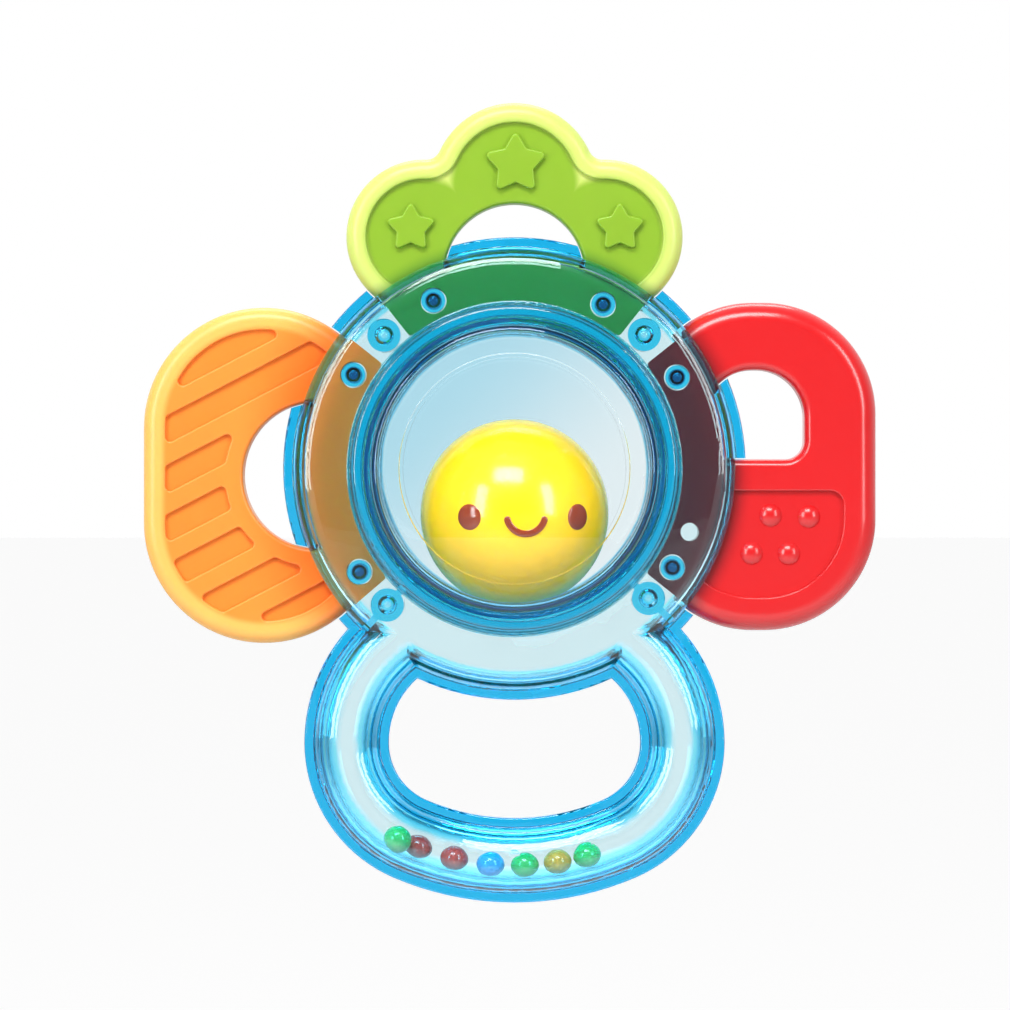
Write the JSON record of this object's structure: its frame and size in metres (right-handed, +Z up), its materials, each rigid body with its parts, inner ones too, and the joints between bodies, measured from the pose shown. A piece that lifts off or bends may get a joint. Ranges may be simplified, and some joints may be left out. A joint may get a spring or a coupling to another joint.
{
  "type": "teething ring",
  "caption": "Translucent blue ring on a hollow grip loop, with a smiling ball in a clear chamber, soft coloured teethers round the rim and loose rattling beads.",
  "frame": {"origin": "middle of the grip bar at the bottom of the loop, on the parting plane of the casing", "axes": "+X to the right seen from the front, +Y to the back, +Z up from the grip bar to the ring"},
  "size_m": [0.128, 0.0366, 0.1399],
  "materials": {
    "blue_translucent": "clear glossy blue polycarbonate",
    "clear": "clear glossy polycarbonate with a faint blue tint",
    "green_soft": "soft satin lime-green elastomer, paler where thin",
    "orange_soft": "soft satin orange elastomer, yellower where thin",
    "red_gloss": "soft glossy red elastomer",
    "ball_yellow": "glossy yellow with a brown printed face",
    "bead_green": "glossy green",
    "bead_red": "glossy red",
    "bead_blue": "glossy blue",
    "bead_orange": "glossy orange"
  },
  "bodies": {
    "frame": {"casing_front": "blue_translucent", "casing_rear": "blue_translucent", "window_front": "clear", "window_rear": "clear", "chamber_ring": "blue_translucent", "teether_green": "green_soft", "teether_orange": "orange_soft", "teether_red": "red_gloss"},
    "ball": {"ball_front": "ball_yellow", "ball_rear": "ball_yellow"},
    "bead_1": {"bead_1": "bead_green"},
    "bead_2": {"bead_2": "bead_red"},
    "bead_3": {"bead_3": "bead_red"},
    "bead_4": {"bead_4": "bead_blue"},
    "bead_5": {"bead_5": "bead_green"},
    "bead_6": {"bead_6": "bead_orange"},
    "bead_7": {"bead_7": "bead_green"}
  },
  "joints": [
    {"name": "ball_roll", "type": "hinge", "parent": "frame", "child": "ball", "pos_m": [0, 0, 0.0686], "axis": [0, 1, 0], "continuous": true},
    {"name": "bead_1_roll", "type": "hinge", "parent": "frame", "child": "bead_1", "pos_m": [-0.011, 0, 0.02065], "axis": [0, 1, 0], "range_deg": [0, 55]},
    {"name": "bead_2_roll", "type": "hinge", "parent": "frame", "child": "bead_2", "pos_m": [0, 0, 0.0464], "axis": [0, -1, 0], "range_deg": [0, 9]},
    {"name": "bead_3_roll", "type": "hinge", "parent": "frame", "child": "bead_3", "pos_m": [0, 0, 0.0464], "axis": [0, -1, 0], "range_deg": [0, 9]},
    {"name": "bead_4_roll", "type": "hinge", "parent": "frame", "child": "bead_4", "pos_m": [0, 0, 0.0464], "axis": [0, -1, 0], "range_deg": [0, 9]},
    {"name": "bead_5_roll", "type": "hinge", "parent": "frame", "child": "bead_5", "pos_m": [0, 0, 0.0464], "axis": [0, -1, 0], "range_deg": [0, 9]},
    {"name": "bead_6_roll", "type": "hinge", "parent": "frame", "child": "bead_6", "pos_m": [0, 0, 0.0464], "axis": [0, -1, 0], "range_deg": [0, 9]},
    {"name": "bead_7_roll", "type": "hinge", "parent": "frame", "child": "bead_7", "pos_m": [0, 0, 0.0464], "axis": [0, -1, 0], "range_deg": [0, 9]}
  ],
  "couplings": [
    {"joint": "bead_2_roll", "follows": "bead_3_roll", "ratio": 1},
    {"joint": "bead_4_roll", "follows": "bead_3_roll", "ratio": 1},
    {"joint": "bead_5_roll", "follows": "bead_3_roll", "ratio": 1},
    {"joint": "bead_6_roll", "follows": "bead_3_roll", "ratio": 1},
    {"joint": "bead_7_roll", "follows": "bead_3_roll", "ratio": 1}
  ]
}
